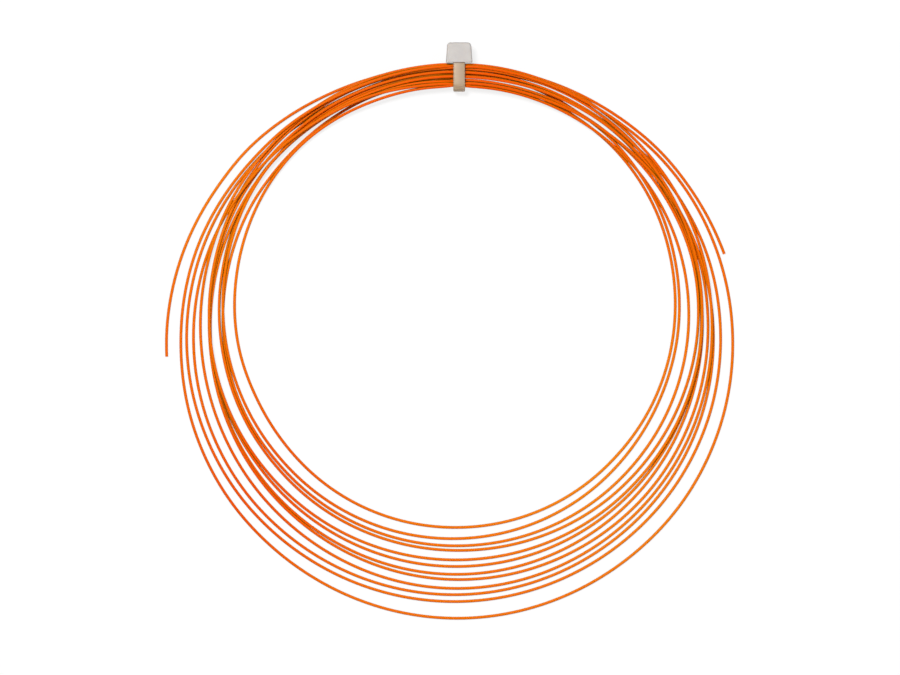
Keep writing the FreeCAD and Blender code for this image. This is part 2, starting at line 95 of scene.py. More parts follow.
# The cord's route, in millimetres about the coil's middle, as read off the photograph. Each row is an angle
# in degrees, clockwise from the top, and the reach there of each of the 12 loops, in the order that they
# are wound.
LOOP_REACHES = {
    2.5: (76.9, 73.5, 73.0, 72.1, 74.0, 75.2, 75.6, 74.95, 76.3, 77.4, 78.15, 78.7),
    5: (76.9, 73.6, 73.0, 72.1, 74.0, 75.2, 75.6, 74.95, 76.3, 77.4, 78.15, 78.7),
    10: (76.9, 73.5, 73.0, 72.15, 73.9, 75.2, 75.6, 75.0, 76.25, 77.4, 78.0, 78.65),
    20: (77.3, 73.1, 73.0, 72.1, 73.9, 75.3, 74.95, 75.2, 76.1, 77.3, 77.8, 78.4),
    30: (77.1, 72.3, 73.4, 72.0, 73.8, 75.4, 73.8, 75.3, 75.9, 77.1, 77.9, 78.2),
    40: (76.8, 71.6, 73.8, 71.9, 73.7, 75.3, 73.0, 75.4, 76.0, 76.6, 78.5, 77.8),
    50: (76.3, 70.6, 74.6, 71.8, 73.9, 75.0, 71.8, 75.5, 76.8, 76.3, 79.6, 77.6),
    60: (75.8, 69.5, 75.5, 71.6, 74.0, 74.8, 70.7, 75.7, 77.5, 75.9, 80.6, 77.5),
    75: (75.1, 67.7, 76.7, 71.1, 74.1, 74.6, 68.9, 76.2, 78.9, 75.3, 82.1, 77.5),
    90: (74.7, 66.2, 77.9, 70.5, 73.4, 74.4, 67.5, 76.4, 80.1, 74.6, 83.7, 77.6),
    112.5: (75.1, 64.4, 79.8, 69.6, 72.0, 74.1, 65.9, 77.1, 82.0, 73.7, 86.2, 78.6),
    135: (75.8, 63.1, 81.2, 68.8, 70.9, 74.1, 65.4, 77.9, 83.4, 72.9, 88.2, 79.6),
    180: (76.8, 62.5, 83.0, 68.1, 69.5, 74.4, 65.9, 78.4, 85.1, 72.4, 90.2, 81.1),
    227: (76.4, 64.0, 82.9, 69.3, 70.4, 74.7, 67.8, 77.1, 85.0, 73.6, 88.4, 79.8),
    247.5: (76.0, 65.3, 82.0, 70.6, 71.4, 75.1, 69.3, 76.4, 84.1, 74.6, 86.7, 79.0),
    265: (75.5, 67.3, 80.8, 71.4, 72.3, 75.5, 70.9, 75.8, 82.9, 75.5, 84.7, 78.5),
    285: (75.1, 69.2, 79.1, 71.9, 73.6, 75.9, 72.8, 75.9, 81.1, 76.4, 82.7, 78.3),
    300: (74.9, 70.7, 77.3, 72.3, 74.7, 76.4, 74.2, 76.2, 79.6, 77.2, 80.8, 78.4),
    310: (74.8, 71.6, 76.3, 72.3, 74.9, 76.3, 74.8, 76.3, 78.6, 77.5, 79.7, 78.4),
    320: (74.6, 72.2, 75.3, 72.6, 74.7, 75.9, 74.9, 76.4, 77.5, 77.7, 79.1, 78.5),
    330: (74.4, 72.3, 74.5, 73.2, 74.7, 75.7, 74.9, 76.5, 76.8, 77.8, 78.4, 78.7),
    340: (74.2, 72.2, 73.9, 73.7, 74.6, 75.65, 74.9, 76.5, 76.7, 77.7, 78.0, 78.85),
    350: (74.0, 72.2, 73.1, 73.7, 74.6, 75.7, 75.1, 76.5, 77.1, 77.65, 78.1, 78.8),
    355: (73.7, 72.1, 72.9, 73.8, 74.7, 75.8, 75.1, 76.5, 77.2, 77.65, 78.2, 78.8),
    357.5: (73.6, 72.1, 72.9, 74.0, 74.6, 75.8, 75.1, 76.5, 77.2, 77.65, 78.2, 78.8),
}
LOOPS = 12

# The angle and the reach of the two free ends of the cord: before the first loop and after the last one.
TAIL_IN = (
    (-96.7, 89.3), (-90, 88.5), (-75, 86.3), (-60, 84.0), (-50, 82.9), (-40, 81.4),
    (-30, 80.0), (-20, 79.0), (-15, 78.8), (-10, 78.5), (-5, 78.0), (-2.5, 77.9),
)
TAIL_OUT = (
    (2.5, 78.3), (5, 78.3), (10, 78.3), (20, 78.5), (30, 79.0),
    (40, 79.8), (50, 80.9), (60, 81.9), (70, 83.2), (75.6, 84.0),
)

# Which strand lies on which, from the lowest to the highest: the loops' numbers on the right half of the
# coil and on the left half. The first free end counts as loop 0, and the last one as loop 13.
RIGHT_PILE = (1, 2, 4, 7, 9, 6, 8, 13, 5, 3, 12, 10, 11)
LEFT_PILE = (0, 4, 5, 6, 9, 1, 7, 8, 10, 2, 3, 12, 11)

# How high each strand's middle lies beside the tie, in millimetres, by its number, to the tie's right and
# left, and the most that it may be anywhere.
RIGHT_OF_TIE = (0, 1.6, 3.3, 5.2, 5.2, 5.2, 3.4, 2.2, 5.2, 5.2, 5.0, 5.6, 4.8, 3.5)
LEFT_OF_TIE = (1.6, 5.2, 5.2, 5.2, 3.2, 4.3, 4.1, 5.2, 5.2, 2.1, 4.8, 5.6, 4.8, 0)
HIGHEST_IN_TIE = 5.6

# In degrees round the coil: how far from the tie its lift has died away, how near to it no height is worked
# out, and the step from one height to the next. Then the steps each way that a height is averaged over, and
# how often.
TIE_LIFTS_FOR = 45
NEAREST_TO_TIE = 4
HEIGHT_STEP = 2
SOFT_STEPS = 3
SOFT_PASSES = 2

# How many sides the cord's round section has, and those of the two threads inside it, and how far each of
# these stands out of the cut past the one around it, in millimetres.
CORD_SIDES = 16
CORE_SIDES = 8
CUT_STEP = 0.01

# The buffer's hue drifts with a noise of this many swells to the metre, moved so that its amber falls, by
# and large, where the object's does. Its crown, which faces up and a little to one side, keeps that hue,
# and its flanks are painted yellower, as painted light. Painted shade darkens strands where they are
# nearer one another than the last of these, in millimetres.
DRIFT_SCALE = 9
DRIFT_PLACE = (27.8, -5.1, -38.1)
CROWN = (0.1, -0.15, 0.98)
NOOK_REACH = 1.3

# How much light the nylon lets through, and how rough it is: the thin strap's, and the thick head's.
STRAP_CLEAR = 0.45
STRAP_ROUGH = 0.32
HEAD_CLEAR = 0.2
HEAD_ROUGH = 0.45

# The stage: the board's half side, its colour and its lift towards white, each lamp's place, width and
# watts, the world's strength on the object and as it is looked at, the camera's sensor in millimetres and
# how far it sees.
BOARD_HALF = 1.5
BOARD_COLOUR = "888888"
BOARD_LIFT = 0.815
KEY_LAMP = ((-0.3, 0.45, 1.6), 0.35, 22.5)
FILL_LAMP = ((0.9, -0.5, 1.2), 0.8, 2.5)
WORLD_LIGHT = 0.2
WORLD_SEEN = 1.0
SENSOR_WIDE = 36
CAMERA_SEES = 20


def srgb(code):
    """A colour written as six hex digits, as the linear numbers that Blender's shaders take."""
    values = [int(code[index:index + 2], 16) / 255 for index in (0, 2, 4)]
    linear = [value / 12.92 if value <= 0.04045 else ((value + 0.055) / 1.055) ** 2.4 for value in values]
    return (*linear, 1.0)


# What a user would change

# Every group has these two properties of its own, which aren't settings.
UNSHOWN = ("rna_type", "name")


class CoilSizes(bpy.types.PropertyGroup):
    cord_wide: bpy.props.FloatProperty(
        name="Cord diameter", description="Outer diameter of the buffered fibre", default=0.0009,
        unit="LENGTH")
    coating_wide: bpy.props.FloatProperty(
        name="Coating diameter", description="Diameter of the acrylate coating", default=0.00025,
        unit="LENGTH")
    glass_wide: bpy.props.FloatProperty(
        name="Glass diameter", description="Diameter of the glass fibre", default=0.000125, unit="LENGTH")
    points_per_turn: bpy.props.IntProperty(
        name="Points per turn", description="Control points in each turn of the coil", default=144, min=12)


class StrapSizes(bpy.types.PropertyGroup):
    width: bpy.props.FloatProperty(
        name="Width", description="Width of the strap", default=0.0036, unit="LENGTH")
    thickness: bpy.props.FloatProperty(
        name="Thickness", description="Thickness of the strap", default=0.0011, unit="LENGTH")
    edge_radius: bpy.props.FloatProperty(
        name="Edge radius", description="Rounding of the strap's long edges", default=0.0004, unit="LENGTH")
    groove_width: bpy.props.FloatProperty(
        name="Groove width", description="Width of the groove that holds the teeth", default=0.0027,
        unit="LENGTH")
    groove_depth: bpy.props.FloatProperty(
        name="Groove depth", description="Depth of that groove", default=0.00035, unit="LENGTH")
    groove_length: bpy.props.FloatProperty(
        name="Groove length", description="How much of the strap is grooved, from its cut end",
        default=0.01201, unit="LENGTH")
    run_on: bpy.props.FloatProperty(
        name="Run-on", description="How far the centre line runs on past the cut end", default=0.001,
        unit="LENGTH")
    tooth_pitch: bpy.props.FloatProperty(
        name="Tooth pitch", description="From one tooth to the next", default=0.00105, unit="LENGTH")
    tooth_length: bpy.props.FloatProperty(
        name="Tooth length", description="Length of a tooth along the strap", default=0.00075, unit="LENGTH")
    tooth_height: bpy.props.FloatProperty(
        name="Tooth height", description="How high a tooth stands in the groove", default=0.0003,
        unit="LENGTH")
    teeth: bpy.props.IntProperty(name="Teeth", description="Teeth in the groove", default=11, min=2)


class CoilColours(bpy.types.PropertyGroup):
    buffer: bpy.props.StringProperty(
        name="Buffer", description="Deep orange of the buffer", default="F25000")
    amber: bpy.props.StringProperty(
        name="Amber", description="Orange of its yellower stretches", default="FA8C00")
    # Painted light: the yellow painted on the strand's flanks, where they face away from its crown.
    painted_flank_light: bpy.props.StringProperty(
        name="Flank", description="Yellow of its thin flanks", default="F09200")
    # Painted shade: the shade colour is painted where strands lie near one another, and the crevice colour,
    # darker, where they are nearest.
    shade: bpy.props.StringProperty(
        name="Shade", description="Its shaded sides beside a strand", default="CE7800")
    painted_crevice_shade: bpy.props.StringProperty(
        name="Crevice", description="The depth between strands", default="463400")
    head: bpy.props.StringProperty(
        name="Head", description="Natural nylon of the tie's head", default="D0CAC5")
    strap: bpy.props.StringProperty(
        name="Strap", description="Natural nylon of the thin strap", default="DCC2A0")


# The cord's route


def coil_middle():
    """The middle of the coil in the part's frame, worked out from where the strap is."""
    low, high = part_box("tie_strap")
    return Vector(((low[0] + high[0]) / 2 - TIE_SIDE * MM, low[1] - STRAP_REACH * MM, 0))


def smooth(before, start, stop, after, share):
    """A value between start and stop on a smooth curve through all four of its neighbours."""
    span = stop[0] - start[0]
    rise_in = (stop[1] - before[1]) / (stop[0] - before[0]) * span
    rise_out = (after[1] - start[1]) / (after[0] - start[0]) * span
    square = share * share
    cube = square * share
    return ((2 * cube - 3 * square + 1) * start[1] + (cube - 2 * square + share) * rise_in
            + (3 * square - 2 * cube) * stop[1] + (cube - square) * rise_out)


def value_at(stations, angle):
    """The smooth value at an angle, from stations of angle and value in rising order."""
    index = 0
    while index < len(stations) - 2 and stations[index + 1][0] <= angle:
        index += 1
    start = stations[index]
    stop = stations[index + 1]
    before = stations[index - 1] if index else (2 * start[0] - stop[0], 2 * start[1] - stop[1])
    after = (stations[index + 2] if index + 2 < len(stations)
             else (2 * stop[0] - start[0], 2 * stop[1] - start[1]))
    return smooth(before, start, stop, after, (angle - start[0]) / (stop[0] - start[0]))


def cord_stations():
    """The angle, counted on from turn to turn, and the reach of every station of the cord, in millimetres."""
    stations = list(TAIL_IN)
    for loop in range(LOOPS):
        stations += [(360 * loop + angle, reaches[loop]) for angle, reaches in LOOP_REACHES.items()]
    return stations + [(360 * LOOPS + angle, reach) for angle, reach in TAIL_OUT]


def eased(share):
    """A share from 0 to 1 that starts and stops gently."""
    share = min(max(share, 0), 1)
    return share * share * (3 - 2 * share)


def softened(values):
    """Heights that never fall below the given ones by much, and rise and fall gently along the cord."""
    last = len(values) - 1
    around = range(-SOFT_STEPS, SOFT_STEPS + 1)
    tops = [max(values[max(place - SOFT_STEPS, 0):place + SOFT_STEPS + 1]) for place in range(last + 1)]
    for _ in range(SOFT_PASSES):
        tops = [sum(tops[min(max(place + step, 0), last)] for step in around) / len(around)
                for place in range(last + 1)]
    return tops


def settled_heights(stations, wide):
    """How high the cord's middle lies at every second degree, in millimetres, as each strand lies on those
    under it. The key is the angle, counted on from turn to turn. Close to the tie there is none."""
    lowest = wide / 2
    heights = {}
    for pile, start, beside_tie in ((RIGHT_PILE, 0, RIGHT_OF_TIE), (LEFT_PILE, 180, LEFT_OF_TIE)):
        angles = range(start, start + 180 + 1, HEIGHT_STEP)
        placed = []
        for loop in pile:
            turn = 360 * (loop - 1)
            known = [angle for angle in angles if stations[0][0] <= turn + angle <= stations[-1][0]]
            reaches = {angle: value_at(stations, turn + angle) for angle in known}
            needs = []
            for angle in known:
                from_tie = min(angle, 360 - angle)
                need = lowest + (beside_tie[loop] - lowest) * (1 - eased(from_tie / TIE_LIFTS_FOR))
                for under_reaches, under_heights in placed:
                    if angle in under_reaches:
                        apart = abs(reaches[angle] - under_reaches[angle])
                        if apart < wide:
                            need = max(need, under_heights[angle] + math.sqrt(wide * wide - apart * apart))
                needs.append(need)
            soft = dict(zip(known, softened(needs)))
            placed.append((reaches, soft))
            for angle in known:
                if min(angle, 360 - angle) >= NEAREST_TO_TIE:
                    heights[turn + angle] = min(soft[angle], HIGHEST_IN_TIE)
    return heights


def cord_points(sizes):
    """The control points of the cord's spline, from its free end at the left to that at the upper right."""
    stations = cord_stations()
    wide = sizes.cord_wide / MM
    heights = settled_heights(stations, wide)
    layers = sorted(heights.items())
    step = 360 / sizes.points_per_turn
    first = stations[0][0]
    last = stations[-1][0]
    angles = [first]
    angles += [step * count for count in range(math.ceil(first / step), math.floor(last / step) + 1)]
    angles += [last]
    # The spline runs inside its control points, so they stand a little further out than the cord.
    outward = 1 / math.cos(math.radians(step / 2))
    middle = coil_middle()
    points = []
    for angle in angles:
        reach = value_at(stations, angle) * (1 if angle in (first, last) else outward) * MM
        turned = math.radians(angle)
        height = value_at(layers, angle) * MM
        # The reaches are as the camera sees them, and what lies higher looks further out.
        reach *= 1 - height / CAMERA_UP
        points.append(middle + Vector((reach * math.sin(turned), reach * math.cos(turned), height)))
    return points


def thread(name, points, wide, sides, longer):
    """A round thread on the cord's spline, whose two ends stand further out by the given length."""
    line = bpy.data.curves.new(name, "CURVE")
    line.dimensions = "3D"
    line.resolution_u = 2
    line.bevel_depth = wide / 2
    line.bevel_resolution = (sides - 4) // 2
    line.use_fill_caps = True
    spline = line.splines.new("NURBS")
    spline.points.add(len(points) - 1)
    places = [point.copy() for point in points]
    places[0] += (places[0] - places[1]).normalized() * longer
    places[-1] += (places[-1] - places[-2]).normalized() * longer
    for point, place in zip(spline.points, places):
        point.co = (*place, 1)
    spline.order_u = 3
    spline.use_endpoint_u = True
    piece = bpy.data.objects.new(name, line)
    bpy.context.scene.collection.objects.link(piece)
    return piece


# Materials and node trees


def add_node(tree, kind, values=None, links=None, **settings):
    """Add a node with its settings, the values of its sockets and the links into them. A socket that shares
    its name with others is given by its number."""
    node = tree.nodes.new(kind)
    for name, value in settings.items():
        setattr(node, name, value)
    for socket, value in (values or {}).items():
        node.inputs[socket].default_value = value
    for socket, source in (links or {}).items():
        tree.links.new(source, node.inputs[socket])
    return node


def blank_material(name):
    """A material with nothing but its output, and that output."""
    material = bpy.data.materials.new(name)
    material.use_nodes = True
    material.node_tree.nodes.clear()
    output = material.node_tree.nodes.new("ShaderNodeOutputMaterial")
    return material, material.node_tree, output


def extruded_buffer(colours):
    """Orange PVC, extruded round the fibre: even and smooth, and a little glossy. Its thin flanks are painted
    yellower, as painted light, and it is painted dark olive between two strands, as painted shade."""
    material, tree, output = blank_material("Extruded orange PVC")
    place = add_node(tree, "ShaderNodeTexCoord")
    surface = add_node(tree, "ShaderNodeNewGeometry")
    # The hue drifts slowly between deep orange and amber, over some 110 mm of the coil.
    spot = add_node(tree, "ShaderNodeMapping", {"Location": DRIFT_PLACE, "Scale": [DRIFT_SCALE] * 3},
                    {"Vector": place.outputs["Object"]})
    drift = add_node(tree, "ShaderNodeTexNoise", {"Scale": 1, "Detail": 1},
                     {"Vector": spot.outputs["Vector"]})
    stretch = add_node(tree, "ShaderNodeMapRange", {"From Min": 0.32, "From Max": 0.74},
                       {"Value": drift.outputs["Fac"]})
    hue = add_node(tree, "ShaderNodeMix", {6: srgb(colours.buffer), 7: srgb(colours.amber)},
                   {0: stretch.outputs["Result"]}, data_type="RGBA")
    # Painted light: the flanks, which face away from the crown, are painted yellower.
    crown = add_node(tree, "ShaderNodeVectorMath", {1: CROWN}, {0: surface.outputs["Normal"]},
                     operation="DOT_PRODUCT")
    edge = add_node(tree, "ShaderNodeMapRange", {"From Min": 0.8, "From Max": 0.3, "To Max": 0.7},
                    {"Value": crown.outputs["Value"]}, interpolation_type="SMOOTHSTEP")
    with_painted_flank_light = add_node(tree, "ShaderNodeMix", {7: srgb(colours.painted_flank_light)},
                      {0: edge.outputs["Result"], 6: hue.outputs[2]}, data_type="RGBA")
    # Painted shade: where strands touch, the colour is painted darker and olive by how near other surfaces
    # are.
    nook = add_node(tree, "ShaderNodeAmbientOcclusion", {"Distance": NOOK_REACH * MM}, samples=8)
    shade = add_node(tree, "ShaderNodeMapRange", {"From Min": 0.85, "From Max": 0.4, "To Max": 0.7},
                     {"Value": nook.outputs["AO"]}, interpolation_type="SMOOTHSTEP")
    shaded = add_node(tree, "ShaderNodeMix", {7: srgb(colours.shade)},
                      {0: shade.outputs["Result"], 6: with_painted_flank_light.outputs[2]}, data_type="RGBA")
    depth = add_node(tree, "ShaderNodeMapRange", {"From Min": 0.62, "From Max": 0.15, "To Max": 0.95},
                     {"Value": nook.outputs["AO"]}, interpolation_type="SMOOTHSTEP")
    toned = add_node(tree, "ShaderNodeMix", {7: srgb(colours.painted_crevice_shade)},
                     {0: depth.outputs["Result"], 6: shaded.outputs[2]}, data_type="RGBA")
    # Drawing through the die leaves waves about 1 mm long and a few hundredths of a millimetre high.
    waves = add_node(tree, "ShaderNodeTexNoise", {"Scale": 900, "Detail": 3},
                     {"Vector": place.outputs["Object"]})
    relief = add_node(tree, "ShaderNodeBump", {"Strength": 0.25, "Distance": 0.00003},
                      {"Height": waves.outputs["Fac"]})
    shader = add_node(
        tree, "ShaderNodeBsdfPrincipled", {"Roughness": 0.38, "IOR": 1.5, "Specular IOR Level": 0.04},
        {"Base Color": toned.outputs[2], "Normal": relief.outputs["Normal"]})
    tree.links.new(shader.outputs["BSDF"], output.inputs["Surface"])
    return material


def moulded_nylon(name, colour, clear, roughness):
    """Natural nylon 6/6, injection moulded: milky, so that the thin strap lets more light through than the
    head, with the fine spark-eroded grain of the mould, so that its gloss is soft."""
    material, tree, output = blank_material(name)
    place = add_node(tree, "ShaderNodeTexCoord")
    # Flow in the mould leaves cloudy streaks some 3 mm long.
    cloud = add_node(tree, "ShaderNodeTexNoise", {"Scale": 320, "Detail": 3},
                     {"Vector": place.outputs["Object"]})
    tone = add_node(
        tree, "ShaderNodeMapRange", {"From Min": 0.3, "From Max": 0.7, "To Min": 0.95, "To Max": 1.03},
        {"Value": cloud.outputs["Fac"]})
    toned = add_node(tree, "ShaderNodeVectorMath", {0: srgb(colour)[:3]}, {"Scale": tone.outputs["Result"]},
                     operation="SCALE")
    # The grain of the mould is about 0.15 mm, and is drawn at 0.25 mm so that it shows.
    grain = add_node(tree, "ShaderNodeTexNoise", {"Scale": 4000, "Detail": 2},
                     {"Vector": place.outputs["Object"]})
    relief = add_node(tree, "ShaderNodeBump", {"Strength": 0.3, "Distance": 0.00002},
                      {"Height": grain.outputs["Fac"]})
    shader = add_node(
        tree, "ShaderNodeBsdfPrincipled",
        {"Roughness": roughness, "IOR": 1.53, "Transmission Weight": clear, "Subsurface Weight": 0.4,
         "Subsurface Radius": (1.0, 0.8, 0.6), "Subsurface Scale": 0.0008},
        {"Base Color": toned.outputs["Vector"], "Normal": relief.outputs["Normal"]})
    tree.links.new(shader.outputs["BSDF"], output.inputs["Surface"])
    return material


def cured_acrylate():
    """Acrylate coating, cured on the glass by ultraviolet light: clear, faintly grey, dull where cut."""
    material, tree, output = blank_material("Cured acrylate")
    place = add_node(tree, "ShaderNodeTexCoord")
    # The blade drags marks about 0.03 mm apart over the cut.
    marks = add_node(tree, "ShaderNodeTexNoise", {"Scale": 30000, "Detail": 1},
                     {"Vector": place.outputs["Object"]})
    relief = add_node(tree, "ShaderNodeBump", {"Strength": 0.4, "Distance": 0.000004},
                      {"Height": marks.outputs["Fac"]})
    shader = add_node(
        tree, "ShaderNodeBsdfPrincipled",
        {"Base Color": srgb("DDE2E6"), "Roughness": 0.4, "IOR": 1.5, "Transmission Weight": 0.4},
        {"Normal": relief.outputs["Normal"]})
    tree.links.new(shader.outputs["BSDF"], output.inputs["Surface"])
    return material


def drawn_glass():
    """Silica glass, drawn from a rod: clear, bright where it was snapped, with a faint blue-green depth."""
    material, tree, output = blank_material("Drawn silica glass")
    place = add_node(tree, "ShaderNodeTexCoord")
    # A snapped fibre has hackle marks about 0.01 mm wide.
    hackle = add_node(tree, "ShaderNodeTexNoise", {"Scale": 90000, "Detail": 1},
                      {"Vector": place.outputs["Object"]})
    relief = add_node(tree, "ShaderNodeBump", {"Strength": 0.2, "Distance": 0.000002},
                      {"Height": hackle.outputs["Fac"]})
    shader = add_node(
        tree, "ShaderNodeBsdfPrincipled",
        {"Base Color": srgb("E4F2F5"), "Roughness": 0.05, "IOR": 1.458, "Transmission Weight": 0.9},
        {"Normal": relief.outputs["Normal"]})
    tree.links.new(shader.outputs["BSDF"], output.inputs["Surface"])
    return material


def painted_board(name, colour, lift):
    """A board painted matt grey, which keeps the shadow, lifted to white for the rays that look at it."""
    material, tree, output = blank_material(name)
    place = add_node(tree, "ShaderNodeTexCoord")
    fibres = add_node(tree, "ShaderNodeTexNoise", {"Scale": 60, "Detail": 4},
                      {"Vector": place.outputs["Object"]})
    roughness = add_node(tree, "ShaderNodeMapRange", {"To Min": 0.85, "To Max": 1.0},
                         {"Value": fibres.outputs["Fac"]})
    board = add_node(tree, "ShaderNodeBsdfDiffuse", {"Color": srgb(colour)},
                     {"Roughness": roughness.outputs["Result"]})
    glow = add_node(tree, "ShaderNodeMath", {1: lift}, {0: looking_rays(tree)}, operation="MULTIPLY")
    light = add_node(tree, "ShaderNodeEmission", {"Color": (1, 1, 1, 1)},
                     {"Strength": glow.outputs["Value"]})
    both = add_node(tree, "ShaderNodeAddShader", None,
                    {0: board.outputs["BSDF"], 1: light.outputs["Emission"]})
    tree.links.new(both.outputs["Shader"], output.inputs["Surface"])
    return material


def looking_rays(tree):
    """1 for the rays from the camera, and for those that it sees in gloss or through glass, otherwise 0."""
    path = add_node(tree, "ShaderNodeLightPath")
    glossy = add_node(tree, "ShaderNodeMath", None,
                      {0: path.outputs["Is Camera Ray"], 1: path.outputs["Is Glossy Ray"]}, operation="ADD")
    every = add_node(tree, "ShaderNodeMath", None,
                     {0: glossy.outputs["Value"], 1: path.outputs["Is Transmission Ray"]}, operation="ADD",
                     use_clamp=True)
    return every.outputs["Value"]


def finish_with(piece, material):
    """Give a piece one material over all of it."""
    piece.data.materials.clear()
    piece.data.materials.append(material)


# The strap


def strap_tree():
    """The nodes that sweep the strap along its centre line, cut the groove in its inner face and set the
    row of teeth in the groove. The centre line runs on past the strap's cut end, so that the groove comes
    out of it."""
    tree = bpy.data.node_groups.new("Strap and teeth", "GeometryNodeTree")
    tree.interface.new_socket(name="Centre line", in_out="INPUT", socket_type="NodeSocketGeometry")
    for name in STRAP_LENGTHS:
        socket = tree.interface.new_socket(name=name, in_out="INPUT", socket_type="NodeSocketFloat")
        socket.subtype = "DISTANCE"
    tree.interface.new_socket(name="Teeth", in_out="INPUT", socket_type="NodeSocketInt")
    tree.interface.new_socket(name="Material", in_out="INPUT", socket_type="NodeSocketMaterial")
    tree.interface.new_socket(name="Strap", in_out="OUTPUT", socket_type="NodeSocketGeometry")
    given = add_node(tree, "NodeGroupInput").outputs

    # The centre line, rounded at its bends, and the stretches of it that the strap, groove and teeth take up.
    line = add_node(tree, "GeometryNodeMeshToCurve", None, {"Mesh": given["Centre line"]})
    bend = add_node(tree, "GeometryNodeInputNamedAttribute", {"Name": "bend"}, data_type="FLOAT")
    path = add_node(tree, "GeometryNodeFilletCurve", {"Count": BEND_STEPS},
                    {"Curve": line.outputs["Curve"], "Radius": bend.outputs["Attribute"]}, mode="POLY")
    whole = add_node(tree, "GeometryNodeCurveLength", None, {"Curve": path.outputs["Curve"]})
    cut = add_node(tree, "ShaderNodeMath", None, {0: whole.outputs["Length"], 1: given["Run-on"]},
                   operation="SUBTRACT")
    groove_from = add_node(tree, "ShaderNodeMath", None, {0: cut.outputs["Value"], 1: given["Groove length"]},
                           operation="SUBTRACT")
    lead = add_node(tree, "ShaderNodeMath", None, {0: given["Tooth pitch"], 1: given["Tooth length"]},
                    operation="SUBTRACT")
    teeth_from = add_node(tree, "ShaderNodeMath", None,
                          {0: groove_from.outputs["Value"], 1: lead.outputs["Value"]}, operation="ADD")
    spaces = add_node(tree, "ShaderNodeMath", {1: 1}, {0: given["Teeth"]}, operation="SUBTRACT")
    teeth_to = add_node(tree, "ShaderNodeMath", None,
                        {0: given["Tooth pitch"], 1: spaces.outputs["Value"], 2: teeth_from.outputs["Value"]},
                        operation="MULTIPLY_ADD")

    # The strap's own section, with its edges rounded by the mould.
    blank = add_node(tree, "GeometryNodeCurvePrimitiveQuadrilateral", None,
                     {"Width": given["Width"], "Height": given["Thickness"]})
    section = add_node(tree, "GeometryNodeFilletCurve", {"Count": EDGE_STEPS},
                       {"Curve": blank.outputs["Curve"], "Radius": given["Edge radius"]}, mode="POLY")
    strap_line = add_node(tree, "GeometryNodeTrimCurve", None,
                          {0: path.outputs["Curve"], 5: cut.outputs["Value"]}, mode="LENGTH")
    strap = add_node(tree, "GeometryNodeCurveToMesh", {"Fill Caps": True},
                     {"Curve": strap_line.outputs["Curve"], "Profile Curve": section.outputs["Curve"]})

    # The groove, cut by a bar that lies half in the inner face.
    bar_high = add_node(tree, "ShaderNodeMath", {1: 2}, {0: given["Groove depth"]}, operation="MULTIPLY")
    bar = add_node(tree, "GeometryNodeCurvePrimitiveQuadrilateral", None,
                   {"Width": given["Groove width"], "Height": bar_high.outputs["Value"]})
    inner = add_node(tree, "ShaderNodeMath", {1: 0.5}, {0: given["Thickness"]}, operation="MULTIPLY")
    inner_face = add_node(tree, "ShaderNodeCombineXYZ", None, {"Y": inner.outputs["Value"]})
    bar_section = add_node(tree, "GeometryNodeTransform", None,
                           {"Geometry": bar.outputs["Curve"], "Translation": inner_face.outputs["Vector"]})
    groove_line = add_node(
        tree, "GeometryNodeTrimCurve", None,
        {0: path.outputs["Curve"], 4: groove_from.outputs["Value"], 5: whole.outputs["Length"]},
        mode="LENGTH")
    groove = add_node(
        tree, "GeometryNodeCurveToMesh", {"Fill Caps": True},
        {"Curve": groove_line.outputs["Curve"], "Profile Curve": bar_section.outputs["Geometry"]})
    grooved = add_node(tree, "GeometryNodeMeshBoolean", None,
                       {0: strap.outputs["Mesh"], 1: groove.outputs["Mesh"]},
                       operation="DIFFERENCE", solver="EXACT")

    # One tooth of unit size, steep towards the head and sloping away from it, and the row of them.
    across = add_node(tree, "GeometryNodeCurvePrimitiveLine",
                      {"Start": (-TOOTH_HALF, 0, 0), "End": (TOOTH_HALF, 0, 0)})
    side = add_node(tree, "GeometryNodeCurvePrimitiveQuadrilateral",
                    {"Point 1": (-1, -TOOTH_FLAT, 0), "Point 2": (TOOTH_FOOT, -1, 0),
                     "Point 3": (TOOTH_FOOT, 0, 0), "Point 4": (-1, 0, 0)}, mode="POINTS")
    unit_tooth = add_node(tree, "GeometryNodeCurveToMesh", {"Fill Caps": True},
                          {"Curve": across.outputs["Curve"], "Profile Curve": side.outputs["Curve"]})
    tooth_size = add_node(
        tree, "ShaderNodeCombineXYZ", None,
        {"X": given["Groove width"], "Y": given["Tooth height"], "Z": given["Tooth length"]})
    floor_up = add_node(tree, "ShaderNodeMath", None, {0: inner.outputs["Value"], 1: given["Groove depth"]},
                        operation="SUBTRACT")
    groove_floor = add_node(tree, "ShaderNodeCombineXYZ", None, {"Y": floor_up.outputs["Value"]})
    tooth = add_node(tree, "GeometryNodeTransform", None,
                     {"Geometry": unit_tooth.outputs["Mesh"], "Translation": groove_floor.outputs["Vector"],
                      "Scale": tooth_size.outputs["Vector"]})
    teeth_line = add_node(
        tree, "GeometryNodeTrimCurve", None,
        {0: path.outputs["Curve"], 4: teeth_from.outputs["Value"], 5: teeth_to.outputs["Value"]},
        mode="LENGTH")
    places = add_node(tree, "GeometryNodeCurveToPoints", None,
                      {"Curve": teeth_line.outputs["Curve"], "Count": given["Teeth"]}, mode="COUNT")
    teeth = add_node(tree, "GeometryNodeInstanceOnPoints", None,
                     {"Points": places.outputs["Points"], "Instance": tooth.outputs["Geometry"],
                      "Rotation": places.outputs["Rotation"]})
    toothed = add_node(tree, "GeometryNodeMeshBoolean", None, {1: grooved.outputs["Mesh"]},
                       operation="UNION", solver="EXACT")
    tree.links.new(teeth.outputs["Instances"], toothed.inputs[1])

    whole_strap = add_node(tree, "GeometryNodeRealizeInstances", None, {"Geometry": toothed.outputs["Mesh"]})
    finished = add_node(tree, "GeometryNodeSetMaterial", None,
                        {"Geometry": whole_strap.outputs["Geometry"], "Material": given["Material"]})
    add_node(tree, "NodeGroupOutput", None, {"Strap": finished.outputs["Geometry"]})
    return tree


